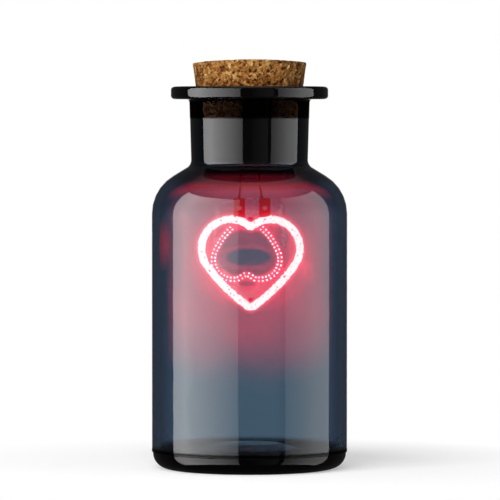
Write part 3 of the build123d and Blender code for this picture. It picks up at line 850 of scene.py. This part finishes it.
def mirrored_points(points):
    """The same points on the other side of the YZ plane, in reverse order."""
    return [Vector((-point.x, point.y, point.z)) for point in reversed(points)]


def moved(points, x=0.0, y=0.0):
    """The same points shifted."""
    return [point + Vector((x, y, 0)) for point in points]


notch_angle = math.atan2(math.sqrt(LOBE_RADIUS**2 - LOBE_OFFSET**2), -LOBE_OFFSET)
right_half = lobe_and_flank(
    Vector((LOBE_OFFSET, 0, LOBE_HEIGHT)),
    LOBE_RADIUS,
    FLANK_RADIUS,
    Vector((0, 0, TIP_HEIGHT)),
    notch_angle,
)
heart_points = moved(right_half[1:-1] + mirrored_points(right_half)[1:-1], x=HEART_SHIFT)
print("heart points", len(heart_points))

# %% [markdown]
# A tube along such a line could be bridged ring by ring. A curve with a round bevel is quicker, and
# keeps the rings square to the line. It is then turned into a mesh, so that its skin can be moved.

# %% Tube helper
TUBE_MERGE = 1e-7
CUBIC_ORDER = 4
POINTS_BETWEEN = 2


def tube_along(points, radius, closed, sides):
    """A round tube along points, from a curve with a bevel, as a bmesh."""
    curve = bpy.data.curves.new("route", "CURVE")
    curve.dimensions = "3D"
    curve.bevel_depth = radius
    curve.bevel_resolution = sides // 2 - 2
    curve.use_fill_caps = not closed
    spline = curve.splines.new("NURBS")
    spline.points.add(len(points) - 1)
    for control, point in zip(spline.points, points):
        control.co = (*point, 1)
    spline.use_cyclic_u = closed
    spline.use_endpoint_u = not closed
    spline.order_u = CUBIC_ORDER
    spline.resolution_u = POINTS_BETWEEN
    holder = bpy.data.objects.new("route", curve)
    scene.collection.objects.link(holder)
    bpy.context.view_layer.update()
    data = bpy.data.meshes.new_from_object(holder.evaluated_get(bpy.context.evaluated_depsgraph_get()))
    bpy.data.objects.remove(holder)
    mesh = bmesh.new()
    mesh.from_mesh(data)
    bpy.data.meshes.remove(data)
    bmesh.ops.remove_doubles(mesh, verts=mesh.verts, dist=TUBE_MERGE)
    bmesh.ops.recalc_face_normals(mesh, faces=mesh.faces)
    shade_smooth(mesh)
    return mesh


# %% [markdown]
# The tube is so bright that it shows as plain white with a scalloped rim: each chip inside lights a
# short length of it, so the rim swells at every chip. Beads set one by one would look too even, so the
# tube's skin is moved by noise of about the chips' pitch. A few tiny red specks show where the wall is
# thicker. Its light is worth several times white, so that it still shows as white behind dark glass.

# %% Light of the heart
CORE_RADIUS = 0.00150
CORE_SIDES = 16
BEAD_PITCH = 0.0008
BEAD_HEIGHT = 0.00060
CORE_LIGHT = (3.6, 3.30, 2.68)
SPECK_LIGHT = (2.6, 0.25, 0.35)
SPECK_START = 0.66
SPECK_END = 0.69
TUBE_GRAIN = 1050.0
TUBE_RIPPLE = 0.1


def light_material(name, light, speck_light, grain=TUBE_GRAIN, ripple_share=TUBE_RIPPLE):
    """Light with a ripple of a share of its strength, and specks of another light."""
    material, tree = new_material(name)
    ripple = noise_at(tree, object_place(tree), grain, detail=1.0)
    brightest = max(light)
    plain = [value / brightest for value in light]
    dull = [value / brightest for value in speck_light]
    speck = stretched(tree, ripple, SPECK_START, SPECK_END)
    colour = add_ramp(tree, speck, ((0.0, *plain), (1.0, *dull)))
    base_share = 1 - ripple_share / 2
    level = math_node(tree, "MULTIPLY_ADD", ripple, ripple_share * brightest, base_share * brightest)
    add_output(tree, emission(tree, colour, level))
    return material


def beaded(mesh, height):
    """Each vertex moves out along its normal by noise of the chips' pitch."""
    mesh.normal_update()
    swell = [height * noise.noise(vert.co / BEAD_PITCH) for vert in mesh.verts]
    for vert, rise in zip(mesh.verts, swell):
        vert.co += vert.normal * rise
    return mesh


add_piece(
    "heart_core",
    beaded(tube_along(heart_points, CORE_RADIUS, True, CORE_SIDES), BEAD_HEIGHT),
    light_material("heart_light", CORE_LIGHT, SPECK_LIGHT),
    "stopper",
    ["heart_tube"],
)

# %% [markdown]
# Round the heart and the loop there is a red halo, strong at the tube and gone within a few
# millimetres. A glare filter could add it to the picture, but it would be lost with the model. So a
# sleeve along the same line carries it. It only adds light, by a power of how much it is seen head-on, so it
# has no rim of its own.

# %% Halo of the heart
HALO_RADIUS = 0.0038
HALO_SIDES = 20
HALO_POWER = 5.0
HALO_STRENGTH = 2.1
HALO_COLOUR = (1.0, 0.03, 0.06, 1)


def halo_material(name, strength):
    """Light that fades from the middle of a sleeve to its rim."""
    material, tree = new_material(name)
    only_adds_light(material, tree, HALO_COLOUR, product(tree, head_on(tree, HALO_POWER), strength))
    return material


add_piece(
    "heart_halo",
    tube_along(heart_points, HALO_RADIUS, True, HALO_SIDES),
    halo_material("heart_halo", HALO_STRENGTH),
    "stopper",
)

# %% [markdown]
# The dotted loop behind the heart keeps its CAD strip and chips, and gets a halo as well. The line
# could be read off the strip's mesh, but a few sizes are easier to follow. It is two lobes and two
# sides, as the heart's, upside down, and a floor with a small rounded bump.

# %% Loop centreline and halo
LOOP_SHIFT = -0.0012
LOOP_DEPTH = 0.00235
LOOP_LOBE_RADIUS = 0.0083
LOOP_LOBE_OFFSET = 0.0057
LOOP_LOBE_HEIGHT = 0.0874
LOOP_SIDE_RADIUS = 0.030
LOOP_END_OFFSET = 0.0040
LOOP_END_HEIGHT = 0.1026
BUMP_HALF_WIDTH = 0.0038
BUMP_RISE = 0.0025
BUMP_ROUNDING = 0.0024
LOOP_HALO_RADIUS = 0.0026
LOOP_HALO_SIDES = 16
LOOP_HALO_STRENGTH = 1.3

loop_side = lobe_and_flank(
    Vector((LOOP_LOBE_OFFSET, 0, LOOP_LOBE_HEIGHT)),
    LOOP_LOBE_RADIUS,
    LOOP_SIDE_RADIUS,
    Vector((LOOP_END_OFFSET, 0, LOOP_END_HEIGHT)),
    -math.pi / 2,
)
loop_bottom = LOOP_LOBE_HEIGHT - LOOP_LOBE_RADIUS
loop_floor = rounded_points(
    (
        (BUMP_HALF_WIDTH, loop_bottom, BUMP_ROUNDING),
        (0, loop_bottom + BUMP_RISE, BUMP_ROUNDING),
        (-BUMP_HALF_WIDTH, loop_bottom, BUMP_ROUNDING),
    )
)
loop_points = moved(loop_side + loop_floor + mirrored_points(loop_side), x=LOOP_SHIFT, y=LOOP_DEPTH)
add_piece(
    "loop_halo",
    tube_along(loop_points, LOOP_HALO_RADIUS, False, LOOP_HALO_SIDES),
    halo_material("loop_halo", LOOP_HALO_STRENGTH),
    "stopper",
)

# %% [markdown]
# The strips and chips keep their CAD meshes, which show every dot, and get finishes. New meshes could
# round each chip off, but at this size nobody would see it. The strips are lit pink by their chips,
# and the chips differ in strength, so that the dots aren't all alike.

# %% Lit strips and chips
STRIP_LIGHT = (2.6, 0.30, 0.42)
CHIP_LIGHT = (6.4, 4.7, 4.2)
CHIP_GRAIN = 330.0
CHIP_RIPPLE = 1.9


def finish_nodes(material, *names):
    """The material goes on the slots of CAD nodes."""
    for name in names:
        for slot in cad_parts[name].material_slots:
            slot.material = material
    print(material.name, "on", *names)


finish_nodes(light_material("lit_strip", STRIP_LIGHT, SPECK_LIGHT), "loop_strip", "heart_strip")
chip_light = light_material("lit_chip", CHIP_LIGHT, CHIP_LIGHT, CHIP_GRAIN, CHIP_RIPPLE)
finish_nodes(chip_light, "loop_leds", "heart_leds")

# %% [markdown]
# The red terminals and lead sleeves take light from the heart. The lit tube could light them by
# itself, but the haze and halo add no light to others. So they get a glow of their own, strongest at
# the bottom, which dies away upwards.

# %% Terminals and leads
GLOW_LOW = 0.104
GLOW_HIGH = 0.124
GLOW_COLOUR = (1.0, 0.010, 0.012, 1)
TERMINAL_RED = (0.34, 0.005, 0.005)
TERMINAL_GLOW = 1.35
SLEEVE_RED = (0.36, 0.008, 0.010)
SLEEVE_GLOW = 1.2
RED_GRAIN = 1400.0
RED_RELIEF = 0.00003
RED_UNEVEN = (0.8, 1.2)
DARK_SHARE = 0.6
# Noise seldom leaves the range from low to high, and a grain's tones run from its dark to its light
NOISE_LOW = 0.3
NOISE_HIGH = 0.7
GRAIN_DARK = 0.35
GRAIN_LIGHT = 0.65


def red_lit_material(name, red, glow):
    """Red insulation or lacquer, lit from below."""
    material, tree = new_material(name)
    place = object_place(tree)
    height = add_node(tree, "ShaderNodeSeparateXYZ", s0=place).outputs["Z"]
    grain = noise_at(tree, place, RED_GRAIN, detail=3.0)
    level = stretched(tree, height, GLOW_LOW, GLOW_HIGH, glow, 0.0)
    uneven = stretched(tree, grain, NOISE_LOW, NOISE_HIGH, *RED_UNEVEN)
    dark = [DARK_SHARE * value for value in red]
    skin = add_node(
        tree,
        "ShaderNodeBsdfPrincipled",
        Base_Color=add_ramp(tree, grain, ((GRAIN_DARK, *dark), (GRAIN_LIGHT, *red))),
        Roughness=0.4,
        Normal=add_node(tree, "ShaderNodeBump", Strength=0.3, Distance=RED_RELIEF, Height=grain).outputs[0],
        Emission_Color=GLOW_COLOUR,
        Emission_Strength=product(tree, level, uneven),
    ).outputs[0]
    add_output(tree, skin)
    return material


terminal_red = red_lit_material("red_terminal", TERMINAL_RED, TERMINAL_GLOW)
finish_nodes(terminal_red, "terminal_left", "terminal_right")
sleeve_red = red_lit_material("red_sleeve", SLEEVE_RED, SLEEVE_GLOW)
finish_nodes(sleeve_red, "lead_wire_left", "lead_wire_right")

# %% [markdown]
# The cork is agglomerate: crumbs of bark pressed together. A displacement in the material would show
# the pits, but would leave the mesh smooth. So a turned blank is cut fine, and its vertices move
# inwards along their normals: a little at the joints between crumbs, which cell noise gives, and more
# in pits, which plain noise gives. How deep it is in a pit or joint is kept on each vertex, so the
# material darkens the same places: the joints a little, as their own tone, and the pits nearly to
# black, as painted shade. The photographed top isn't level either: it falls away a little to both
# sides.

# %% Cork blank
CROWN = 0.0012
CROWN_TOP = CORK_TOP + CROWN
CORK_EDGE = 0.0008
CORK_CELL = 0.00050
CORK_STEPS = 300
POCKET_RADIUS = 0.018
POCKET_FLOOR = CORK_BOTTOM + 0.0066
HOLE_RADIUS = 0.00325
SAG = 0.00085
SAG_MIDDLE = 0.0015
SAG_REACH = 0.020
SAG_FROM = 0.165

cork_corners = (
    (HOLE_RADIUS, CORK_BOTTOM, 0),
    (CORK_BOTTOM_RADIUS, CORK_BOTTOM, CORK_EDGE),
    (cork_radius(CROWN_TOP), CROWN_TOP, CORK_EDGE),
    (POCKET_RADIUS, CORK_TOP + CROWN / 2, 0),
    (POCKET_RADIUS, POCKET_FLOOR, 0),
    (HOLE_RADIUS, POCKET_FLOOR, 0),
)


def held(value):
    """A value held between nothing and one."""
    return min(1.0, max(0.0, value))


def sagged(mesh):
    """The top sinks away from its highest point, more at the rim's outside than at the pocket."""
    for vert in mesh.verts:
        share = (vert.co.z - SAG_FROM) / (CROWN_TOP - SAG_FROM)
        outside = (vert.co.xy.length - POCKET_RADIUS) / (CORK_TOP_RADIUS - POCKET_RADIUS)
        fall = SAG * ((vert.co.x - SAG_MIDDLE) / SAG_REACH) ** 2
        vert.co.z -= fall * max(0.0, share) * held(2 * outside)
    return mesh


cork_mesh = sagged(turned(cork_corners, steps=CORK_STEPS, closed=True, cell=CORK_CELL))
print("cork blank", len(cork_mesh.verts), "vertices")

# %% Crumbs and pits
CRUMB_SIZE = 0.0022
JOINT_WIDTH = 0.22
JOINT_DEPTH = 0.00010
JOINT_DARKNESS = 0.45
PIT_SIZE = 0.0012
PIT_START = 0.26
PIT_END = 0.42
PIT_DEPTH = 0.00050

pits = cork_mesh.verts.layers.float.new("pit")
cork_mesh.normal_update()
for vert in cork_mesh.verts:
    distances = noise.voronoi(vert.co / CRUMB_SIZE)[0]
    joint = max(0.0, 1 - (distances[1] - distances[0]) / JOINT_WIDTH)
    pit = held((noise.noise(vert.co / PIT_SIZE) - PIT_START) / (PIT_END - PIT_START))
    # The pits' share darkens them as painted shade in the holes; the joints' share is their own darker tone.
    vert[pits] = max(JOINT_DARKNESS * joint, pit)
    vert.co -= vert.normal * (JOINT_DEPTH * joint + PIT_DEPTH * pit)
print("vertices in pits", sum(vert[pits] > JOINT_DARKNESS for vert in cork_mesh.verts))

# %% [markdown]
# Each crumb of bark has a tone of its own. One cell pattern would give them all one size, so a second,
# finer one is mixed in, and both are warped by noise so that their sides bend. Fine grain and dark
# spots go on top, and the kept pits, darkened nearly to black as painted shade. Towards the bottle's
# mouth, where the cork meets the glass lip, it is darker: a painted shade.

# %% Cork material
WARP_GRAIN = 420.0
WARP_REACH = 0.0022
CRUMB_SCALE = 420.0
SMALL_CRUMB_SCALE = 1150.0
CRUMB_SHARE = 0.62
SMALL_CRUMB_SHARE = 0.38
BARK_STOPS = (
    (0.12, 0.080, 0.022, 0.004),
    (0.28, 0.190, 0.072, 0.015),
    (0.50, 0.275, 0.118, 0.026),
    (0.72, 0.360, 0.172, 0.047),
    (0.88, 0.560, 0.340, 0.135),
)
FINE_GRAIN = 2600.0
FINE_LEVELS = (0.72, 1.22)
SPOT_SCALE = 1050.0
SPOT_START = 0.62
SPOT_END = 0.66
# Painted shade where the cork meets the glass lip.
LIP_PAINTED_SHADE_BANDS = ((0.1608, 0.66, 0.54, 0.40), (0.1650, *CLEAR))
# Near black: painted shade in the pits, and the own colour of the joints and the dark spots.
PIT_SHADE_AND_SPOT_COLOUR = (0.012, 0.003, 0.0005, 1)
CORK_RELIEF = 0.0001

material, tree = new_material("cork")
place = object_place(tree)
warp = add_node(tree, "ShaderNodeTexNoise", Vector=place, Scale=WARP_GRAIN, Detail=2.0).outputs["Color"]
warped = vector_node(tree, "ADD", place, scaled(tree, warp, WARP_REACH))
crumbs = add_node(tree, "ShaderNodeTexVoronoi", Vector=warped, Scale=CRUMB_SCALE).outputs["Color"]
small = add_node(tree, "ShaderNodeTexVoronoi", Vector=warped, Scale=SMALL_CRUMB_SCALE).outputs["Color"]
tone = add_node(tree, "ShaderNodeSeparateXYZ", s0=crumbs).outputs["X"]
small_tone = add_node(tree, "ShaderNodeSeparateXYZ", s0=small).outputs["Y"]
tones = math_node(
    tree, "ADD", product(tree, tone, CRUMB_SHARE), product(tree, small_tone, SMALL_CRUMB_SHARE)
)
fine = noise_at(tree, place, FINE_GRAIN, detail=3.0)
fine = stretched(tree, fine, NOISE_LOW, NOISE_HIGH, *FINE_LEVELS)
toned = scaled(tree, add_ramp(tree, tones, BARK_STOPS), fine)
# Painted shade towards the mouth of the bottle.
toned = vector_node(tree, "MULTIPLY", toned, height_bands(tree, LIP_PAINTED_SHADE_BANDS))
# Depth in pits and joints: painted shade in the pits, a darker tone at the joints.
deep = add_node(tree, "ShaderNodeAttribute", {"attribute_name": "pit"}).outputs["Fac"]
spots = stretched(tree, noise_at(tree, place, SPOT_SCALE, detail=1.0), SPOT_START, SPOT_END)
# The mix node's colours are its sockets 6 and 7, and its mixed colour is output 2
bark = add_node(
    tree,
    "ShaderNodeMix",
    {"data_type": "RGBA"},
    s0=math_node(tree, "MAXIMUM", deep, spots),
    s6=toned,
    s7=PIT_SHADE_AND_SPOT_COLOUR,
).outputs[2]
skin = add_node(
    tree,
    "ShaderNodeBsdfPrincipled",
    Base_Color=bark,
    Roughness=0.85,
    Specular_IOR_Level=0.2,
    Normal=add_node(tree, "ShaderNodeBump", Strength=0.5, Distance=CORK_RELIEF, Height=fine).outputs[0],
).outputs[0]
add_output(tree, skin)
add_piece("cork", cork_mesh, material, "stopper", ["cork_stopper"])

# %% [markdown]
# The rest of the frame is the housing in the cork and the electrics in it. Each gets the finish that
# such a part has: moulded plastic, plated steel, solder mask, epoxy, tin or rubber. Each could have a
# tree of its own, but they differ only in tone, grain and gloss, so one helper varies the colour,
# gloss and relief of each by fine grain.

# %% Finishes of the housing and the electrics
PLASTIC_RELIEF = 0.00002
METAL_RELIEF = 0.00001
SOLDER_RELIEF = 0.00003
GLOSS_LEVELS = (0.85, 1.15)


def grained_material(name, dark, light, grain, roughness, metallic=0.0, relief=PLASTIC_RELIEF):
    """A colour that varies with fine grain, in tone, gloss and relief."""
    material, tree = new_material(name)
    fine = noise_at(tree, object_place(tree), grain, detail=4.0)
    rough = [level * roughness for level in GLOSS_LEVELS]
    skin = add_node(
        tree,
        "ShaderNodeBsdfPrincipled",
        Base_Color=add_ramp(tree, fine, ((GRAIN_DARK, *dark), (GRAIN_LIGHT, *light))),
        Roughness=stretched(tree, fine, NOISE_LOW, NOISE_HIGH, *rough),
        Metallic=metallic,
        Normal=add_node(tree, "ShaderNodeBump", Strength=0.4, Distance=relief, Height=fine).outputs[0],
    ).outputs[0]
    add_output(tree, skin)
    return material


plastic = grained_material("dark_plastic", (0.020, 0.014, 0.010), (0.034, 0.025, 0.018), 5200.0, 0.50)
finish_nodes(plastic, "module_case", "module_lid", "switch_body", "cell_cup")
cap_plastic = grained_material("cap_plastic", (0.030, 0.022, 0.016), (0.050, 0.038, 0.028), 4200.0, 0.42)
finish_nodes(cap_plastic, "battery_cap")
knob_plastic = grained_material("knob_plastic", (0.55, 0.50, 0.42), (0.68, 0.63, 0.54), 4800.0, 0.38)
finish_nodes(knob_plastic, "switch_knob")
steel = grained_material(
    "plated_steel", (0.42, 0.42, 0.41), (0.60, 0.60, 0.58), 2600.0, 0.30, 1.0, METAL_RELIEF
)
finish_nodes(steel, "lid_screws", "coin_cell_lower", "coin_cell_upper")
bronze = grained_material(
    "spring_bronze", (0.55, 0.40, 0.20), (0.72, 0.55, 0.30), 2200.0, 0.32, 1.0, METAL_RELIEF
)
finish_nodes(bronze, "negative_spring", "positive_contact")
mask = grained_material("solder_mask", (0.004, 0.060, 0.022), (0.010, 0.105, 0.040), 900.0, 0.35)
finish_nodes(mask, "circuit_board")
epoxy = grained_material("chip_epoxy", (0.012, 0.012, 0.013), (0.024, 0.024, 0.026), 6000.0, 0.55)
finish_nodes(epoxy, "driver_chip", "resistors")
tin = grained_material(
    "tin_solder", (0.50, 0.50, 0.50), (0.70, 0.70, 0.69), 1800.0, 0.34, 1.0, SOLDER_RELIEF
)
finish_nodes(tin, "solder_joints")
rubber = grained_material("black_rubber", (0.012, 0.012, 0.012), (0.026, 0.025, 0.024), 3600.0, 0.72)
finish_nodes(rubber, "cap_seal", "wire_grommet")
